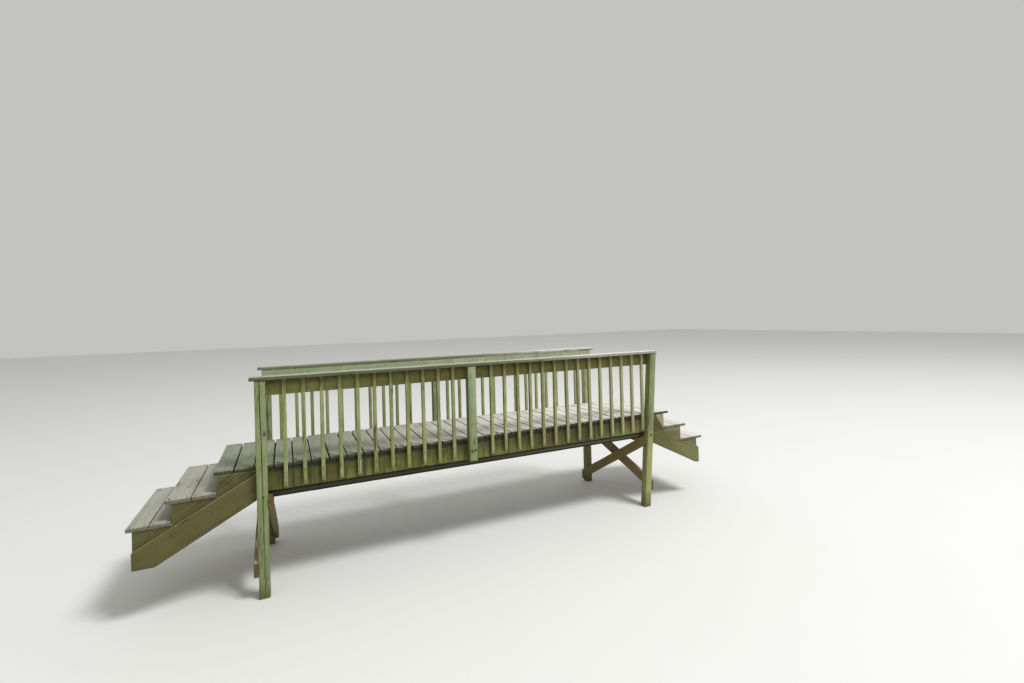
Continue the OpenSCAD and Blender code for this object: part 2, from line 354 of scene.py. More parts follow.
def solids(node):
    """Corners of each separate solid of a CAD node, in order along X."""
    work = bmesh.new()
    work.from_mesh(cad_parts[node].data)
    bmesh.ops.remove_doubles(work, verts=work.verts, dist=1e-5)
    seen, boxes = set(), []
    for start in work.verts:
        if start in seen:
            continue
        group, queue = [], [start]
        seen.add(start)
        while queue:
            vertex = queue.pop()
            group.append(vertex.co.copy())
            for edge in vertex.link_edges:
                other = edge.other_vert(vertex)
                if other not in seen:
                    seen.add(other)
                    queue.append(other)
        low = Vector([min(co[i] for co in group) for i in range(3)])
        high = Vector([max(co[i] for co in group) for i in range(3)])
        boxes.append((low, high))
    work.free()
    return sorted(boxes, key=lambda box: box[0].x)


def to_segment(point, start, end):
    """Distance from a point to the line between two others."""
    line = end - start
    t = max(0.0, min(1.0, (point - start).dot(line) / line.length_squared))
    return (start + line * t - point).length


def net(ob, way, spacing=0.06):
    """Cuts a piece across at even steps, so that its faces can wander."""
    levels = [vertex.co.dot(way) for vertex in bmesh.from_edit_mesh(ob.data).verts]
    first, last = min(levels), max(levels)
    steps = max(2, round((last - first) / spacing))
    for i in range(1, steps):
        cut(way * (first + (last - first) * i / steps), way)
    return first, last


def shaped_plank(node, rng):
    """Dresses a copy of a CAD plank that isn't a plain box: edges rounded, a net cut over it."""
    seam = sizes().seam
    ob = copy_of(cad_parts[node].data)
    only(ob)
    edit_mode(True)
    pick_all()
    bpy.ops.mesh.remove_doubles(threshold=0.0001)
    bpy.ops.mesh.dissolve_limited(angle_limit=math.radians(0.5))
    work = bmesh.from_edit_mesh(ob.data)
    thin = max(work.faces, key=lambda face: face.calc_area()).normal.copy()
    longest = max(work.edges, key=lambda edge: edge.calc_length())
    along = (longest.verts[1].co - longest.verts[0].co).normalized()
    side = thin.cross(along).normalized()
    outline = [tuple(v.co.copy() for v in edge.verts) for edge in work.edges]
    faces = [(face.verts[0].co.copy(), face.normal.copy()) for face in work.faces]
    pick_all()
    soften(sizes().arris, clamp=True)
    for point, normal in faces:
        cut(point - normal * seam, normal)
    first, last = net(ob, along)
    under, over = net(ob, side)
    pick_all()
    bpy.ops.mesh.normals_make_consistent(inside=False)
    edit_mode(False)
    note_edges(ob, lambda co: min(to_segment(co, *ends) for ends in outline) < seam * 0.7)
    levels = [vertex.co.dot(thin) for vertex in ob.data.vertices]
    middle = (along * (first + last) + side * (under + over) + thin * (min(levels) + max(levels))) / 2
    turn = Matrix((along, side, along.cross(side))).transposed().to_4x4()
    note_grain(ob, Matrix.Translation(middle) @ turn, rng, (last - first) / 2, (over - under) / 2)
    return ob


# Shader helpers

class Wire:
    """A shader socket that can be used in plain arithmetic."""

    def __init__(self, shader, socket):
        self.shader, self.socket = shader, socket

    def math(self, operation, *values):
        return self.shader.node("ShaderNodeMath", {"operation": operation}, dict(enumerate(values)))

    def __add__(self, other):
        return self.math("ADD", self, other)

    def __radd__(self, other):
        return self.math("ADD", other, self)

    def __sub__(self, other):
        return self.math("SUBTRACT", self, other)

    def __rsub__(self, other):
        return self.math("SUBTRACT", other, self)

    def __mul__(self, other):
        return self.math("MULTIPLY", self, other)

    def __rmul__(self, other):
        return self.math("MULTIPLY", other, self)

    def __abs__(self):
        return self.math("ABSOLUTE", self)

    def step(self, low, high):
        """Rises smoothly from 0 at low to 1 at high, or falls where high is the lower one."""
        return self.shader.node("ShaderNodeMapRange", {"interpolation_type": "SMOOTHSTEP"},
                                {0: self, 1: low, 2: high, 3: 0, 4: 1})


class Shader:
    """A material's node tree, with one method that makes any node."""

    def __init__(self, name):
        self.material = bpy.data.materials.new(name)
        self.material.use_nodes = True
        self.tree = self.material.node_tree
        self.skin = self.tree.nodes["Principled BSDF"]
        self.place = self.node("ShaderNodeTexCoord", out=3)

    def node(self, kind, settings=None, sockets=None, out=0):
        made = self.tree.nodes.new(kind)
        for key, value in (settings or {}).items():
            setattr(made, key, value)
        for key, value in (sockets or {}).items():
            self.feed(made.inputs[key], value)
        return Wire(self, made.outputs[out])

    def feed(self, socket, value):
        if isinstance(value, Wire):
            self.tree.links.new(value.socket, socket)
        elif socket.type == "RGBA":
            socket.default_value = (*value, 1)
        else:
            socket.default_value = value

    def skin_is(self, **values):
        """Sets the shader's own sockets: Base_Color stands for Base Color."""
        for key, value in values.items():
            self.feed(self.skin.inputs[key.replace("_", " ")], value)

    def mix(self, factor, first, second):
        return self.node("ShaderNodeMix", {"data_type": "RGBA"}, {0: factor, 6: first, 7: second}, out=2)

    def vector(self, operation, first, second):
        return self.node("ShaderNodeVectorMath", {"operation": operation}, {0: first, 1: second},
                         out=1 if operation == "DOT_PRODUCT" else 0)

    def noise(self, scale, detail=2, rough=0.5, on=None):
        """Cloudy noise, with one scale, or one for each axis where the pattern is drawn out."""
        vector = on or self.place
        if isinstance(scale, tuple):
            vector, scale = self.vector("MULTIPLY", vector, scale), 1
        return self.node("ShaderNodeTexNoise", None,
                         {"Vector": vector, "Scale": scale, "Detail": detail, "Roughness": rough})

    def named(self, name, out):
        return self.node("ShaderNodeAttribute", {"attribute_name": name}, out=out)

    def part(self, vector, axis):
        return self.node("ShaderNodeSeparateXYZ", None, {0: vector}, axis)

    def bump(self, strength, distance, height):
        return self.node("ShaderNodeBump", None,
                         {"Strength": strength, "Distance": distance, "Height": height})


def shade(colour, factor):
    return tuple(channel * factor for channel in colour)


class Wood(Shader):
    """Rough softwood, built up in layers from the sound wood to the weather on it."""

    def __init__(self, name, sound, second, figure=1, silvering=0.3, checks=1):
        super().__init__(name)
        self.sound, self.second = sound, second
        self.soil, self.silver = colours().soil, colours().silver
        self.grain = self.named("grain", 1)
        self.tone = self.named("tone", 2)
        self.arris = self.named("arris", 2)
        margin = self.named("margin", 1)
        self.tip, self.edge = self.part(margin, X), self.part(margin, Y)
        self.x, self.y, self.z = (self.part(self.place, axis) for axis in (X, Y, Z))
        normal = self.node("ShaderNodeNewGeometry", out=1)
        self.nx, self.ny, self.up = (self.part(normal, axis) for axis in (X, Y, Z))
        self.on_top = self.up.step(0.3, 0.9)
        self.end = abs(self.vector("DOT_PRODUCT", normal, self.named("way", 1))).step(0.6, 0.85)
        self.broad = self.noise(2.7, 3, 0.6)
        self.fine = self.noise(42, 3, 0.65)
        self.grow(figure)
        self.weather(silvering, checks)

    def stain(self, mask, colour):
        self.colour = self.mix(mask, self.colour, colour)

    def grow(self, figure):
        """Growth rings that bend round a wandering pith and the knots, and fine fibres."""
        cells = {"Vector": self.vector("MULTIPLY", self.grain, (4.5, 8, 8)), "Scale": 1}
        middle = self.node("ShaderNodeTexVoronoi", None, cells)
        chosen = self.part(self.node("ShaderNodeTexVoronoi", None, cells, 1), 0)
        chosen = chosen.step(0.7, 0.72)
        self.knot = middle.step(0.12, 0.09) * chosen
        halo = middle.step(0.34, 0.08) * chosen
        wander = self.node("ShaderNodeTexNoise", None,
                           {"Vector": self.vector("MULTIPLY", self.grain, (1.1, 5, 5)),
                            "Scale": 1, "Detail": 2}, 1)
        bent = self.vector("ADD", self.vector("MULTIPLY", self.grain, (0.02, 1, 1)),
                           self.vector("MULTIPLY", wander, (0, 0.075, 0.075)))
        swirl = self.node("ShaderNodeCombineXYZ", None, {1: halo * 0.012, 2: halo * 0.012})
        rings = {"wave_type": "RINGS", "rings_direction": "X", "wave_profile": "SAW"}
        self.rings = self.node("ShaderNodeTexWave", rings,
                               {"Vector": self.vector("ADD", bent, swirl), "Scale": 42,
                                "Distortion": 0.8, "Detail": 2, "Detail Scale": 3}, 1)
        self.fibre = self.noise((4.5, 230, 230), 3, 0.6, on=self.grain)
        self.streak = self.noise((0.9, 30, 30), 3, 0.6, on=self.grain)
        self.colour = self.mix(self.tone.step(0, 1), self.sound, self.second)
        self.stain(self.streak.step(0.44, 0.78) * 0.55 * figure, shade(self.second, 0.55))
        self.stain(self.streak.step(0.46, 0.22) * 0.35 * figure, shade(self.sound, 1.22))
        self.stain(self.rings.step(0.45, 1) * 0.3 * figure, shade(self.second, 0.5))
        self.stain(self.fibre.step(0.46, 0.28) * 0.35, shade(self.second, 0.42))
        self.stain(halo * 0.3, shade(self.second, 0.45))
        self.stain(self.knot * 0.8, (0.055, 0.032, 0.016))

    def weather(self, silvering, checks):
        """Bleaching of what the rain and sun reach, worn edges, dark end grain and drying checks."""
        rain = self.noise((1.4, 26, 26), 4, 0.65, on=self.grain)
        reached = self.on_top * 0.75 + 0.25
        self.stain(rain.step(0.3, 0.7) * reached * silvering, self.silver)
        rubbed = self.arris * self.noise(14, 4, 0.7).step(0.46, 0.66)
        self.stain(rubbed * 0.25, shade(self.silver, 1.1))
        self.stain(self.end * 0.55, shade(self.second, 0.4))
        line = abs(self.noise((1, 34, 34), 1.5, 0.45, on=self.grain) - 0.5)
        line = line + self.fibre.step(0.55, 0.3) * 0.006
        where = self.noise((0.8, 8, 8), 1, on=self.grain).step(0.5, 0.66)
        near_tip = self.tip.step(0.14, 0.01) * 0.45 * min(checks, 1)
        self.check = line.step(0.016, 0.004) * (where * checks + near_tip).step(0.1, 1)
        star = self.node("ShaderNodeTexVoronoi", {"feature": "DISTANCE_TO_EDGE"},
                         {"Vector": self.vector("MULTIPLY", self.grain, (0, 16, 16)), "Scale": 1})
        self.split = star.step(0.018, 0.004) * self.end * self.broad.step(0.42, 0.58)

    def paint_sunlight(self, amount):
        """Painted sunlight: the wood drawn nearly white, as where the sun falls on it, with its grain still
        showing.
        """
        white = (0.86, 0.83, 0.76)
        self.stain(amount, white)
        self.stain(amount * self.streak.step(0.46, 0.74) * 0.45, shade(white, 0.62))
        self.stain(amount * self.rings.step(0.5, 1) * 0.35, shade(white, 0.58))
        self.stain(amount * self.fibre.step(0.46, 0.26) * 0.5, shade(white, 0.45))

    def algae(self, amount):
        """Green film, thickest on the faces turned away from the sun and low down."""
        film = self.noise(5.5, 4, 0.65)
        turned = self.nx.step(0.2, -0.9) * 0.35 + self.z.step(1.6, 0.2) * 0.12
        sheltered = 1 - self.up.step(0.4, 0.9) * 0.6
        self.stain((film + turned).step(0.4, 0.72) * sheltered * amount, colours().algae)

    def grime(self, amount):
        """Dirt in patches, and run down the faces."""
        spots = self.noise(11, 5, 0.7).step(0.52, 0.82)
        runs = self.noise((26, 26, 1.6), 3, 0.6).step(0.5, 0.78)
        runs = runs * (1 - abs(self.up))
        self.stain((spots * 0.6 + runs * 0.5) * amount, shade(self.soil, 1.8))

    def shaded_side(self, amount):
        """Painted shade on the side away from the light: dark olive, with a painted warm reflection low
        down and painted brown shade under the cap.
        """
        # Painted shade: dark olive on the side away from the light
        turned = self.nx.step(-0.3, -0.9)
        self.stain(turned * amount, (0.095, 0.082, 0.033))
        # Painted warm reflection low down, and painted brown shade under the cap
        warm_reflection_low = self.z.step(RIM_LOW + 0.05, RIM_LOW - 0.25)
        shade_under_cap = self.z.step(CAP_LOW - 0.35, CAP_LOW - 0.05) * 0.7
        warm = (warm_reflection_low + shade_under_cap) * self.noise(6, 3, 0.6).step(0.3, 0.6)
        self.stain(turned * warm * amount, (0.19, 0.12, 0.05))

    def shakes(self, amount):
        """Short dark splits that run aslant to the grain, in the plane of each face."""
        slant = self.node("ShaderNodeCombineXYZ", None, {1: abs(self.nx).step(0.5, 0.7) * 0.17,
                                                         2: abs(self.ny).step(0.5, 0.7) * 0.2})
        slanted = self.node("ShaderNodeVectorRotate", {"rotation_type": "EULER_XYZ"},
                            {"Vector": self.grain, "Rotation": slant})
        line = abs(self.noise((2.2, 60, 60), 1.5, 0.5, on=slanted) - 0.5).step(0.03, 0.008)
        where = self.noise((1.6, 9, 9), 2, on=self.grain).step(0.42, 0.56)
        self.stain(line * where * amount, (0.085, 0.085, 0.045))

    def damp_foot(self, top):
        """Dark damp wood with moss at the foot of what stands on the ground."""
        level = self.z + self.noise(9, 3) * 0.16
        self.stain(level.step(top + 0.12, 0.02) * 0.7, (0.085, 0.085, 0.035))
        moss = self.noise(24, 4, 0.7).step(0.5, 0.62)
        self.stain(level.step(top + 0.05, 0) * moss * 0.7, (0.1, 0.15, 0.03))

    def nail_stains(self, lines):
        """Iron stains that spread along the grain from the nails."""
        spread, wide = 0.045, 0.01
        beside = abs(self.edge - BOARD_NAIL).step(wide * 1.6, wide * 0.3)
        near = sum(abs(self.y - line).step(spread, 0.004) for line in lines)
        ragged = self.fibre.step(0.2, 0.7) * 0.6 + 0.4
        self.stain(near * beside * ragged * 0.55, (0.07, 0.06, 0.055))

    def done(self, roughness=0.8, relief=0.004):
        self.stain(self.check * 0.92, self.soil)
        self.stain(self.split * 0.6, self.soil)
        height = (self.fibre * 0.35 + self.rings * 0.35 + self.streak * 0.4 + self.fine * 0.18
                  - self.check * 1.6 - self.split * 1.2 - self.knot * 0.3)
        self.skin_is(Base_Color=self.colour, Roughness=self.fibre * 0.14 + roughness,
                     Normal=self.bump(0.6, relief, height), Specular_IOR_Level=0.25)
        return self.material


# Finishes

def post_wood():
    """Posts: grey-green with fine slanting checks, painted shade and a warm painted reflection on the side
    away from the light, painted shade on the far legs, damp at the foot.
    """
    w = Wood("post wood", colours().post, (0.265, 0.3, 0.14), silvering=0.46, checks=2)
    w.algae(0.38)
    leg = w.z.step(RIM_LOW + 0.1, RIM_LOW - 0.2)
    far, right = w.y.step(0.3, 0.5), w.x.step(0.5, 2)
    w.stain(leg * right * 0.5, (0.44, 0.41, 0.165))
    # Painted shade: the far posts' legs under the deck drawn brown
    w.stain(leg * far * 0.6, (0.17, 0.115, 0.05))
    middle_posts = abs(w.x).step(0.6, 0.3) * w.z.step(RIM_LOW, CAP_LOW)
    w.stain(middle_posts * 0.55, (0.37, 0.45, 0.28))
    w.shakes(0.9)
    w.shaded_side(0.74 - w.x.step(1, 2.2) * 0.5)
    far_right_post = far * w.x.step(1, 2) * w.z.step(RIM_LOW, RIM_HIGH)
    w.stain(far_right_post * 0.55, (0.52, 0.51, 0.29))
    w.grime(0.5)
    w.damp_foot(0.22)
    return w.done(0.78)


def picket_wood():
    """Balusters: pale yellow-green, with painted brown shade under the cap and rusty below the nails."""
    w = Wood("picket wood", colours().picket, (0.33, 0.33, 0.13), figure=1.3, silvering=0.36, checks=1.4)
    w.algae(0.48)
    patches = w.noise((9, 9, 3), 3, 0.6)
    w.stain(patches.step(0.5, 0.66) * 0.4, (0.2, 0.2, 0.075))
    w.stain(patches.step(0.46, 0.3) * 0.3, (0.46, 0.5, 0.26))
    # Painted shade: brown under the cap
    shade_under_cap = (w.z + w.noise(30, 3) * 0.05).step(CAP_LOW - 0.12, CAP_LOW + 0.03)
    w.stain(shade_under_cap * (w.tone * 0.55 + 0.35), (0.13, 0.083, 0.033))
    w.shaded_side(0.72 - w.x.step(1.6, 2.3) * 0.3)
    near, far = w.y.step(0, -0.3), w.y.step(0.3, 0.5)
    w.stain(far * w.x.step(0.4, 2) * 0.38, (0.52, 0.52, 0.31))
    w.stain(near * w.x.step(0.4, 1.8) * 0.22, (0.52, 0.56, 0.36))
    w.stain(near * w.x.step(1.9, 2.3) * 0.3, (0.5, 0.42, 0.27))
    w.grime(0.45)
    below = [w.z - level for level in PICKET_NAILS]
    rust = sum((gap + 0.016).step(0.03, 0) * (gap + 0.04).step(0, 0.025) for gap in below)
    w.stain(rust * w.edge.step(0.01, 0.018) * 0.35, (0.1, 0.06, 0.03))
    return w.done(0.78)


def cap_wood():
    """Cap boards: pale on top, with painted sunlight towards the right end, dark along the edges and
    underneath.
    """
    w = Wood("cap wood", colours().cap, (0.36, 0.4, 0.27), silvering=0.8)
    w.algae(0.25)
    green_left = w.x.step(0.8, -0.6)
    w.stain(green_left * 0.5, (0.37, 0.46, 0.29))
    # Painted sunlight: paler towards the right end, and nearly white at it
    pale_right = w.x.step(-0.5, 1.6) * w.fibre.step(0.15, 0.5)
    w.stain(pale_right * 0.55, (0.76, 0.73, 0.66))
    w.paint_sunlight(w.x.step(0.9, 1.6) * 0.68)
    beside = w.up.step(0.7, 0.2) * (1 - w.end * 0.8)
    beside = beside * (0.9 - w.x.step(-0.4, 1.4) * 0.28 - w.y.step(0, 0.3) * 0.25)
    w.stain(beside, (0.095, 0.09, 0.052))
    lichen = w.noise(60, 4, 0.7).step(0.62, 0.72)
    w.stain(lichen * 0.3, (0.2, 0.22, 0.14))
    w.grime(0.45)
    return w.done(0.82)


def rail_wood():
    """Rail planks: pale on the walk side, olive-brown behind the balusters, with painted red-brown shade on
    top under the cap.
    """
    w = Wood("rail wood", colours().rail, (0.19, 0.16, 0.048), figure=0.8, silvering=0.12, checks=0.5)
    inside = (w.y * w.ny).step(0, -0.3)
    outside = 1 - inside
    pale = w.mix(w.broad.step(0.35, 0.65), (0.44, 0.5, 0.34), (0.42, 0.43, 0.3))
    pale = w.mix(w.x.step(0.5, -1.5) * 0.5, pale, (0.32, 0.44, 0.3))
    pale = w.mix(w.streak.step(0.44, 0.8) * 0.55, pale, (0.28, 0.29, 0.17))
    w.stain(inside * 0.92, pale)
    warm = w.noise((2.2, 2.2, 5), 3, 0.6).step(0.44, 0.6) * outside
    w.stain(warm * 0.55, (0.21, 0.135, 0.055))
    yellow_left = w.x.step(-0.6, -2) * outside
    w.stain(yellow_left * 0.3, (0.39, 0.39, 0.135))
    # Painted shade: red-brown at the top, under the cap
    top = (w.z + w.noise(14, 3) * 0.05).step(RAIL_LOW + 0.09, CAP_LOW + 0.02)
    w.stain(top * (0.85 - inside * 0.65), (0.06, 0.038, 0.014))
    w.algae(0.35)
    w.grime(0.6)
    return w.done(0.8)


def beam_wood():
    """Rims and beams: mossy and streaked, darker up top with dirt and painted shade, a painted shadow line
    under the deck boards, and the beams painted nearly black as shade with a paler stripe along them.
    """
    w = Wood("beam wood", colours().beam, (0.2, 0.19, 0.065), figure=0.9, silvering=0.08)
    w.algae(0.35)
    moss = w.noise((5, 5, 7), 3, 0.6).step(0.42, 0.62)
    w.stain(moss * 0.6, (0.155, 0.18, 0.026))
    brown = w.noise((8, 8, 3), 3, 0.6).step(0.46, 0.58)
    w.stain(brown * 0.62, (0.12, 0.088, 0.03))
    w.stain(w.noise(1.3, 2).step(0.46, 0.62) * 0.4, (0.07, 0.062, 0.022))
    pale_right = w.x.step(1.7, 2.4) * w.z.step(RIM_LOW, RIM_LOW + 0.02)
    w.stain(pale_right * 0.45, (0.36, 0.34, 0.14))
    dark_stretch = w.x.step(0.3, 0.8) * w.x.step(2, 1.3)
    w.stain(dark_stretch * 0.38, (0.06, 0.062, 0.022))
    ragged = w.noise((13, 13, 1.8), 4, 0.7) * 0.12
    # Darker up the rim: dirt and damp, and painted shade under the deck's edge
    dirt_and_shade_up_top = (w.z + ragged).step(RIM_LOW + 0.08, RIM_HIGH + 0.02)
    w.stain(dirt_and_shade_up_top * 0.74, (0.055, 0.062, 0.018))
    runs = w.noise((24, 24, 1), 3, 0.6).step(0.49, 0.62)
    w.stain(runs * 0.8, (0.058, 0.046, 0.019))
    # Painted shadow: a near-black line under the deck boards
    shadow_under_boards = (w.z + ragged * 0.4).step(RIM_HIGH - 0.028, RIM_HIGH)
    w.stain(shadow_under_boards * 0.9, (0.022, 0.022, 0.012))
    # Painted shade: the beams below the rims drawn nearly black
    beam = w.z.step(RIM_LOW + 0.002, RIM_LOW - 0.01)
    w.stain(beam * 0.94, (0.012, 0.011, 0.006))
    w.grime(0.6)
    # A paler stripe along the beam's face, between painted lines of shade above and below it
    level = w.z + w.noise((3, 3, 30), 2) * 0.012
    stripe = level.step(RIM_LOW - 0.014, RIM_LOW - 0.026) * level.step(BEAM_LOW + 0.02, BEAM_LOW + 0.034)
    w.stain(stripe * (w.x.step(-0.5, 1.6) * 0.45 + 0.3), (0.15, 0.13, 0.09))
    return w.done(0.82)


def deck_wood():
    """Deck boards: grey, greener at the left, silvered and with painted sunlight towards the right, dark at
    their ends, with painted shade in the gaps between them.
    """
    w = Wood("deck wood", colours().deck, (0.33, 0.32, 0.25), figure=0.8, silvering=0.65)
    green_left = w.x.step(0, -2.2)
    w.stain(green_left * 0.6, (0.18, 0.225, 0.13))
    spots = w.noise(16, 3, 0.6).step(0.6, 0.74)
    w.stain(spots * 0.3, (0.16, 0.11, 0.065))
    by_rail = (abs(w.y) + w.noise(12, 3) * 0.1).step(DECK_EDGE - 0.06, DECK_EDGE + 0.05)
    w.stain(by_rail * 0.3, (0.13, 0.13, 0.075))
    w.nail_stains((-RIM_LINE, 0, RIM_LINE))
    w.grime(0.45)
    # Silvering on top, ramped brighter to the right as painted sunlight
    silvered_and_sunlit = w.x.step(-2, 1.6) * (w.fibre.step(0.1, 0.55) * 0.6 + 0.4)
    w.stain(silvered_and_sunlit * w.on_top * (w.tone * 0.26 + 0.66), (0.8, 0.78, 0.71))
    # Painted sunlight at the right end
    sunny = w.x.step(1, 1.8) * (w.fibre.step(0.08, 0.45) * 0.4 + 0.5)
    w.paint_sunlight(sunny * w.on_top * (w.tone * 0.34 + 0.58))
    trodden = w.noise((8, 3.5, 8), 4, 0.68).step(0.5, 0.66)
    w.stain(trodden * w.up.step(0.5, 0.9) * 0.26, (0.24, 0.225, 0.165))
    # Dark end grain, and painted shade on the board sides in the gaps and underneath
    dark_ends_and_gap_shade = w.up.step(0.5, 0)
    w.stain(dark_ends_and_gap_shade * 0.85, (0.058, 0.05, 0.027))
    return w.done(0.8, 0.005)


def tread_wood():
    """Treads: as the deck, and paler, with painted sunlight towards the right end."""
    w = Wood("tread wood", colours().tread, (0.4, 0.38, 0.3), figure=0.8, silvering=0.8)
    left_flight = w.x.step(0, -1)
    w.stain(left_flight * 0.3, (0.2, 0.235, 0.145))
    w.nail_stains((-RIM_LINE, RIM_LINE))
    w.grime(0.5)
    # Painted sunlight towards the right end
    silvered_and_sunlit = w.x.step(1, 2.4) * (w.fibre.step(0.1, 0.55) * 0.6 + 0.4)
    w.paint_sunlight(silvered_and_sunlit * w.on_top * (w.tone * 0.3 + 0.62))
    # Dark end grain, and painted shade on the tread sides in the gaps and underneath
    dark_ends_and_gap_shade = w.up.step(0.5, 0)
    w.stain(dark_ends_and_gap_shade * 0.55, (0.11, 0.1, 0.06))
    return w.done(0.8, 0.005)


def brace_wood():
    """Braces: orange-brown, with painted light on their top faces."""
    w = Wood("brace wood", colours().brace, (0.19, 0.13, 0.048), silvering=0.1)
    # Painted light: paler top faces
    lit_top_faces = w.up.step(0.45, 0.75)
    w.stain(lit_top_faces * 0.7, (0.44, 0.38, 0.25))
    w.algae(0.1)
    w.grime(0.7)
    w.damp_foot(0.14)
    return w.done(0.8)


def string_wood():
    """Planks under the steps: mossy olive-brown, darkest where the rims end, with painted light on the top
    faces and along the lower edges, and painted shade on the left flight.
    """
    w = Wood("step plank wood", colours().string, (0.13, 0.1, 0.042), silvering=0.1)
    w.algae(0.25)
    moss = w.noise(6, 3, 0.6).step(0.48, 0.64)
    w.stain(moss * 0.4, (0.14, 0.15, 0.038))
    left_flight, right_tip = w.x.step(0, -1), w.x.step(2.7, 3.2)
    # Painted shade: the left flight's planks darker
    w.stain(left_flight * 0.35, (0.085, 0.085, 0.026))
    w.stain(right_tip * 0.4, (0.27, 0.28, 0.13))
    # Painted light: paler top faces, and a lit strip along the lower edges
    lit_top_faces = w.up.step(0.45, 0.75)
    w.stain(lit_top_faces * 0.5, (0.34, 0.31, 0.2))
    lit_low_edge = w.arris * (1 - w.up.step(0.3, 0.7))
    w.stain(lit_low_edge * 0.35, (0.3, 0.26, 0.17))
    fall, edge = 0.65, 0.015
    line = RISER + RIM_LOW * fall
    slant = (w.x + w.z * fall).step(line + edge, line - edge)
    right = w.x.step(0, 0.1)
    w.stain(slant * right * w.z.step(RIM_LOW - 0.01, RIM_LOW + 0.01) * 0.65, (0.075, 0.06, 0.032))
    tooth = (1 - slant) * right * w.z.step(RIM_LOW - 0.06, RIM_LOW + 0.02)
    w.stain(tooth * 0.65, (0.46, 0.41, 0.25))
    w.grime(0.8)
    return w.done(0.82)


def iron():
    """Dull rusty iron of the nails and bolts."""
    s = Shader("rusty iron")
    crust = s.noise(170, 4, 0.7)
    rust = (0.13, 0.062, 0.028)
    s.skin_is(Base_Color=s.mix(crust.step(0.4, 0.72), colours().iron, rust), Metallic=0.3,
              Roughness=crust * 0.3 + 0.58, Normal=s.bump(0.5, 0.001, crust))
    return s.material


finishes = {}


def finish(maker):
    """The finish that a function makes, made when it is first asked for."""
    if maker not in finishes:
        finishes[maker] = maker()
    return finishes[maker]


# Operators

class MakeStage(bpy.types.Operator):
    """Lays the pale floor, hangs the soft light and sets up the camera"""

    bl_idname = "footbridge.stage"
    bl_label = "Stage"

    def execute(self, context):
        clear()
        bpy.ops.mesh.primitive_plane_add(size=120, location=(0, 0, 0))
        floor = context.object
        floor.name = "floor"
        s = Shader("pale floor")
        pale = colours().floor
        s.skin_is(Base_Color=s.mix(s.noise(0.6, 3), shade(pale, 0.985), shade(pale, 1.015)), Roughness=0.9)
        floor.data.materials.append(s.material)

        context.scene.view_settings.view_transform = "Standard"
        world = bpy.data.worlds.new("studio")
        context.scene.world = world
        world.use_nodes = True
        back = world.node_tree.nodes["Background"]
        back.inputs["Color"].default_value = (0.99, 0.99, 0.965, 1.0)
        back.inputs["Strength"].default_value = 0.55

        light = bpy.data.lights.new("key", "AREA")
        light.shape = "SQUARE"
        light.size = 8.0
        light.energy = 6500.0
        lamp = bpy.data.objects.new("key", light)
        context.collection.objects.link(lamp)
        lamp.location = (10.0, -13.0, 27.0)
        deck_middle = Vector((0, 0, 1.2))
        lamp.rotation_euler = (deck_middle - lamp.location).to_track_quat("-Z", "Y").to_euler()

        camera = bpy.data.cameras.new("camera")
        camera.sensor_width = 36
        camera.lens = EYE_LENS
        camera.shift_y = EYE_SHIFT
        eye = bpy.data.objects.new("camera", camera)
        context.collection.objects.link(eye)
        turn = Matrix.Rotation(-EYE_TURN, 4, "Z") @ Matrix.Rotation(math.pi / 2, 4, "X")
        eye.matrix_world = Matrix.Translation(EYE) @ turn @ Matrix.Rotation(EYE_ROLL, 4, "Z")
        context.scene.camera = eye
        return {"FINISHED"}


class MakePosts(bpy.types.Operator):
    """Makes the six railing posts, with the long drying check in the near left one"""

    bl_idname = "footbridge.posts"
    bl_label = "Posts"

    def execute(self, context):
        rng = random.Random(11)
        for node in ["%s_%s_post" % (side, end) for side in SIDES for end in ("left", "middle", "right")]:
            low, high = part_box(node)
            settle = None
            if node == "near_right_post":
                points = [v.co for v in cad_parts[node].data.vertices]
                at_end = 0.01
                head = min(p.x for p in points if p.z > high.z - at_end)
                foot = min(p.x for p in points if p.z < low.z + at_end)
                settle = leaning((head - foot) / (high.z - low.z), high.z)
                low.x, high.x = head, head + high.y - low.y
            post = lay(low, high, Z, X, rng, rings=46, settle=settle)
            if node == "near_left_post":
                self.open_check(post, low, high)
            complete(node, "_timber", [post], post_wood, "picket_wood")
        return {"FINISHED"}

    def open_check(self, ob, low, high):
        """Splits the front face along its middle, as wood does when it dries."""
        width, depth = sizes().check_width, sizes().check_depth
        aside, skin = 0.001, 0.002
        middle = (low.x + high.x) / 2 + aside
        only(ob)
        edit_mode(True)
        for offset in (-width / 2, 0.0, width / 2):
            cut((middle + offset, 0, 0), (1, 0, 0))
        edit_mode(False)
        rng = random.Random(5)
        bends, sway, lean = 7, 0.003, 0.008
        bend = [rng.uniform(-sway, sway) for _ in range(bends + 1)]
        shut, foot = 0.002, 0.02
        for vertex in ob.data.vertices:
            co = vertex.co
            if co.y > low.y + skin or abs(co.x - middle) > width * 0.6:
                continue
            t = (co.z - low.z) / (high.z - low.z)
            if t < shut or t > 1 - shut:
                continue
            if t < foot:
                open_by = 0.25
            else:
                open_by = min(1.0, 0.35 + t * 0.9) * (0.85 + 0.15 * math.sin(t * 23))
            i = min(bends - 1, int(t * bends))
            shift = bend[i] + (bend[i + 1] - bend[i]) * (t * bends - i) + (0.5 - t) * lean
            side = (co.x - middle) / (width / 2)
            if abs(side) < 0.3:
                co.y += depth * open_by
                co.x = middle + shift
            else:
                co.x = middle + shift + side * width / 2 * open_by


class MakeRailings(bpy.types.Operator):
    """Makes the cap boards and the rail planks under them"""

    bl_idname = "footbridge.railings"
    bl_label = "Caps and rails"

    def execute(self, context):
        rng = random.Random(23)
        for kind, across, wood in (("cap", Y, cap_wood), ("rail", Z, rail_wood)):
            for side in SIDES:
                node = "%s_%s" % (side, kind)
                board = lay(*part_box(node), X, across, rng, rings=60)
                complete(node, "_board", [board], wood, kind + "_wood")
        return {"FINISHED"}


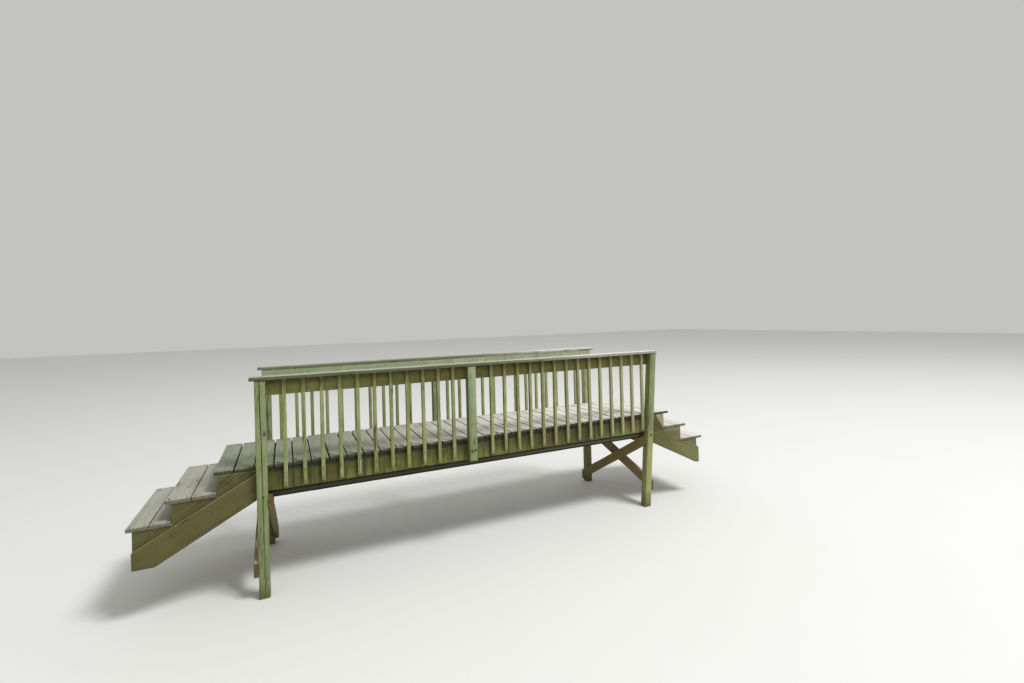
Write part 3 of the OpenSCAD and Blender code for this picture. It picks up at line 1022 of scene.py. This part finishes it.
class MakeBalusters(bpy.types.Operator):
    """Makes the balusters of both railings"""

    bl_idname = "footbridge.balusters"
    bl_label = "Balusters"

    def execute(self, context):
        rng = random.Random(37)
        crook = sizes().crook
        for node in ["%s_%s_balusters" % (side, bay) for side in SIDES for bay in ("left", "right")]:
            parts = []
            boxes = solids(node)
            for low, high in boxes:
                by_leaning_post = node == "near_right_balusters" and low is boxes[-1][0]
                lean = 0.0 if by_leaning_post else rng.uniform(-crook, crook) / (high.z - low.z)
                # Lower ends differ by whole millimetres, so that balusters can share a pattern
                foot = round(low.z + rng.uniform(0, 0.008), 3)
                parts.append(lay(Vector((low.x, low.y, foot)), high, Z, X, rng,
                                 rings=16, settle=leaning(lean, high.z)))
            complete(node, "_timbers", parts, picket_wood, "picket_wood", uneven=0.6, wane=0.8)
        return {"FINISHED"}


class MakeBeams(bpy.types.Operator):
    """Makes the rims, the beams and the cross planks under the deck"""

    bl_idname = "footbridge.beams"
    bl_label = "Rims and beams"

    def execute(self, context):
        rng = random.Random(41)
        planks = [(node, X, 56) for node in ("near_rim", "far_rim", "near_beam", "far_beam", "middle_beam")]
        planks += [(node, Y, 14) for node in ("left_header", "right_header")]
        for node, along, rings in planks:
            plank = lay(*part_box(node), along, Z, rng, rings=rings)
            complete(node, "_plank", [plank], beam_wood, "beam_wood")
        return {"FINISHED"}


class MakeDeck(bpy.types.Operator):
    """Makes the deck boards"""

    bl_idname = "footbridge.deck"
    bl_label = "Deck"

    def execute(self, context):
        rng = random.Random(53)
        slack, turn = 0.0015, 0.002
        for node in DECK:
            parts = []
            for low, high in solids(node):
                slide = Vector((rng.uniform(-slack, slack), 0, rng.uniform(-slack, 0.0)))
                middle = (low + high) / 2
                settle = (Matrix.Translation(middle + slide)
                          @ Matrix.Rotation(rng.uniform(-turn, turn), 4, "Z")
                          @ Matrix.Translation(-middle))
                for end, way in ((low, 1), (high, -1)):
                    end.y += way * rng.choice((0.0, 0.002, 0.004))
                board = lay(low, high, Y, X, rng, rings=14, settle=settle)
                self.cup(board, middle, high.x - low.x, rng.uniform(-0.002, 0.0005))
                parts.append(board)
            complete(node, "_boards", parts, deck_wood, "deck_wood")
        return {"FINISHED"}

    def cup(self, board, middle, width, rise):
        """Lowers or lifts the long edges of a board, as it cups when it dries."""
        for vertex in board.data.vertices:
            vertex.co.z += rise * (2 * (vertex.co.x - middle.x) / width) ** 2


class MakeBraces(bpy.types.Operator):
    """Makes the crossed braces between the end posts"""

    bl_idname = "footbridge.braces"
    bl_label = "Braces"

    def execute(self, context):
        rng = random.Random(61)
        for node in ("left_brace_inner", "left_brace_outer", "right_brace_inner", "right_brace_outer"):
            complete(node, "_board", [shaped_plank(node, rng)], brace_wood, "brace_wood")
        return {"FINISHED"}


class MakeSteps(bpy.types.Operator):
    """Makes the sawn planks, the straight planks and the treads of both flights"""

    bl_idname = "footbridge.steps"
    bl_label = "Steps"

    def execute(self, context):
        rng = random.Random(71)
        for end in ("left", "right"):
            for kind in ("string", "side"):
                for side in SIDES:
                    node = "%s_%s_%s" % (end, kind, side)
                    complete(node, "_plank", [shaped_plank(node, rng)], string_wood, "string_wood")
            node = end + "_treads"
            parts = [lay(low, high, Y, X, rng, rings=14) for low, high in solids(node)]
            complete(node, "_boards", parts, tread_wood, "tread_wood")
        return {"FINISHED"}


class MakeFixings(bpy.types.Operator):
    """Makes the nails in the deck, treads and balusters, and the bolts in the posts"""

    bl_idname = "footbridge.fixings"
    bl_label = "Nails and bolts"

    def disc(self, vertices, radius, thick, level=0.0):
        """Adds a short cylinder and opens it in edit mode."""
        clear()
        bpy.ops.mesh.primitive_cylinder_add(vertices=vertices, radius=radius, depth=thick,
                                            location=(0, 0, level))
        edit_mode(True)
        return bpy.context.object

    def nail(self):
        """A nail's round head, a little raised inside its rim."""
        radius, thick, raised = sizes().nail, 0.004, 0.0006
        head = self.disc(10, radius, thick)
        pick_top(head)
        bpy.ops.mesh.inset(thickness=radius * 0.3)
        bpy.ops.transform.translate(value=(0, 0, raised))
        edit_mode(False)
        return head

    def bolt(self):
        """A six-sided bolt head on its washer."""
        thick, high, sunk, worn = 0.004, 0.009, 0.001, 0.0012
        washer = self.disc(28, sizes().washer, thick)
        pick_top(washer)
        soften(worn)
        edit_mode(False)
        head = self.disc(6, sizes().bolt, high, (thick + high) / 2 - sunk)
        pick_all()
        soften(worn)
        edit_mode(False)
        return merge("bolt", [washer, head])

    def scatter(self, name, model, places, slot):
        """Copies a fixing to places, each a point and the way that it faces."""
        parts = []
        for number, (point, facing) in enumerate(place for place in places if place):
            ob = copy_of(model.data)
            turn = facing.to_track_quat("Z", "X").to_matrix().to_4x4()
            spin = Matrix.Rotation(number * 1.7, 4, "Z")
            ob.data.transform(Matrix.Translation(point) @ turn @ spin)
            parts.append(ob)
        piece = merge(name, parts)
        bpy.ops.object.shade_smooth_by_angle(angle=SMOOTH_UNDER)
        finish_piece(piece, finish(iron), slot)
        bpy.data.objects.remove(model)

    def on_face(self, piece, start, way, sink):
        """Where a line from just outside meets the worn face, let in a little, and the way it faces."""
        outside = 0.02
        met, point, normal, _ = bpy.data.objects[piece].ray_cast(start - way * outside, way)
        return (point - normal * sink, normal) if met else None

    def on_railing(self, piece, side, low, high, x, z, sink):
        """Such a place on the outer face of one of a railing's timbers."""
        near = side == "near"
        start = Vector((x, low.y if near else high.y, z))
        return self.on_face(piece, start, Vector((0, 1 if near else -1, 0)), sink)

    def execute(self, context):
        rng = random.Random(83)
        context.view_layer.update()
        nail_sink, bolt_sink, down = 0.0018, 0.001, Vector((0, 0, -1))

        def about(value, amount=0.003):
            return value + rng.uniform(-amount, amount)

        places = []
        for node in DECK + ("left_treads", "right_treads"):
            lines = (-RIM_LINE, 0.0, RIM_LINE) if node in DECK else (-RIM_LINE, RIM_LINE)
            for low, high in solids(node):
                for y in lines:
                    for x in (low.x + BOARD_NAIL, high.x - BOARD_NAIL):
                        start = Vector((about(x), about(y), high.z))
                        places.append(self.on_face(node + "_boards", start, down, nail_sink))
        self.scatter("deck_nails", self.nail(), places, "deck_wood")

        places = []
        for side in SIDES:
            for bay in ("left", "right"):
                node = "%s_%s_balusters" % (side, bay)
                for low, high in solids(node):
                    for z in PICKET_NAILS:
                        places.append(self.on_railing(node + "_timbers", side, low, high,
                                                      about((low.x + high.x) / 2), about(z), nail_sink))
        self.scatter("baluster_nails", self.nail(), places, "picket_wood")

        places = []
        bolts = (("left", END_BOLT, (0.006,)), ("middle", MIDDLE_BOLT, (-0.02, 0.022)),
                 ("right", END_BOLT, (0.006,)))
        for side in SIDES:
            for place, z, offsets in bolts:
                node = "%s_%s_post" % (side, place)
                low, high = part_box(node)
                width = high.y - low.y
                lean = (high.x - width - low.x) / (high.z - low.z)
                x = high.x - width / 2 - lean * (high.z - z)
                for offset in offsets:
                    places.append(self.on_railing(node + "_timber", side, low, high,
                                                  x + offset, z + offset * 0.2, bolt_sink))
        self.scatter("post_bolts", self.bolt(), places, "picket_wood")
        return {"FINISHED"}


class FootbridgePanel(bpy.types.Panel):
    """Lists the pieces of the footbridge in the 3D view's sidebar"""

    bl_idname = "VIEW3D_PT_footbridge"
    bl_label = "Footbridge"
    bl_space_type = "VIEW_3D"
    bl_region_type = "UI"
    bl_category = "Footbridge"

    def draw(self, context):
        for operator in operators:
            self.layout.operator(operator.bl_idname)
        for group in (sizes(), colours()):
            box = self.layout.box()
            for key in group.__annotations__:
                box.prop(group, key)


operators = (MakeStage, MakePosts, MakeRailings, MakeBalusters, MakeBeams, MakeDeck,
             MakeBraces, MakeSteps, MakeFixings)
classes = (FootbridgeSizes, FootbridgeColours) + operators + (FootbridgePanel,)


def register():
    for cls in classes:
        bpy.utils.register_class(cls)
    bpy.types.Scene.footbridge_sizes = bpy.props.PointerProperty(type=FootbridgeSizes)
    bpy.types.Scene.footbridge_colours = bpy.props.PointerProperty(type=FootbridgeColours)


def unregister():
    del bpy.types.Scene.footbridge_colours
    del bpy.types.Scene.footbridge_sizes
    for cls in reversed(classes):
        bpy.utils.unregister_class(cls)


def main():
    register()
    bpy.ops.footbridge.stage()
    bpy.ops.footbridge.posts()
    bpy.ops.footbridge.railings()
    bpy.ops.footbridge.balusters()
    bpy.ops.footbridge.beams()
    bpy.ops.footbridge.deck()
    bpy.ops.footbridge.braces()
    bpy.ops.footbridge.steps()
    bpy.ops.footbridge.fixings()
    for base in patterns.values():
        bpy.data.objects.remove(base)


if __name__ == "__main__":
    main()
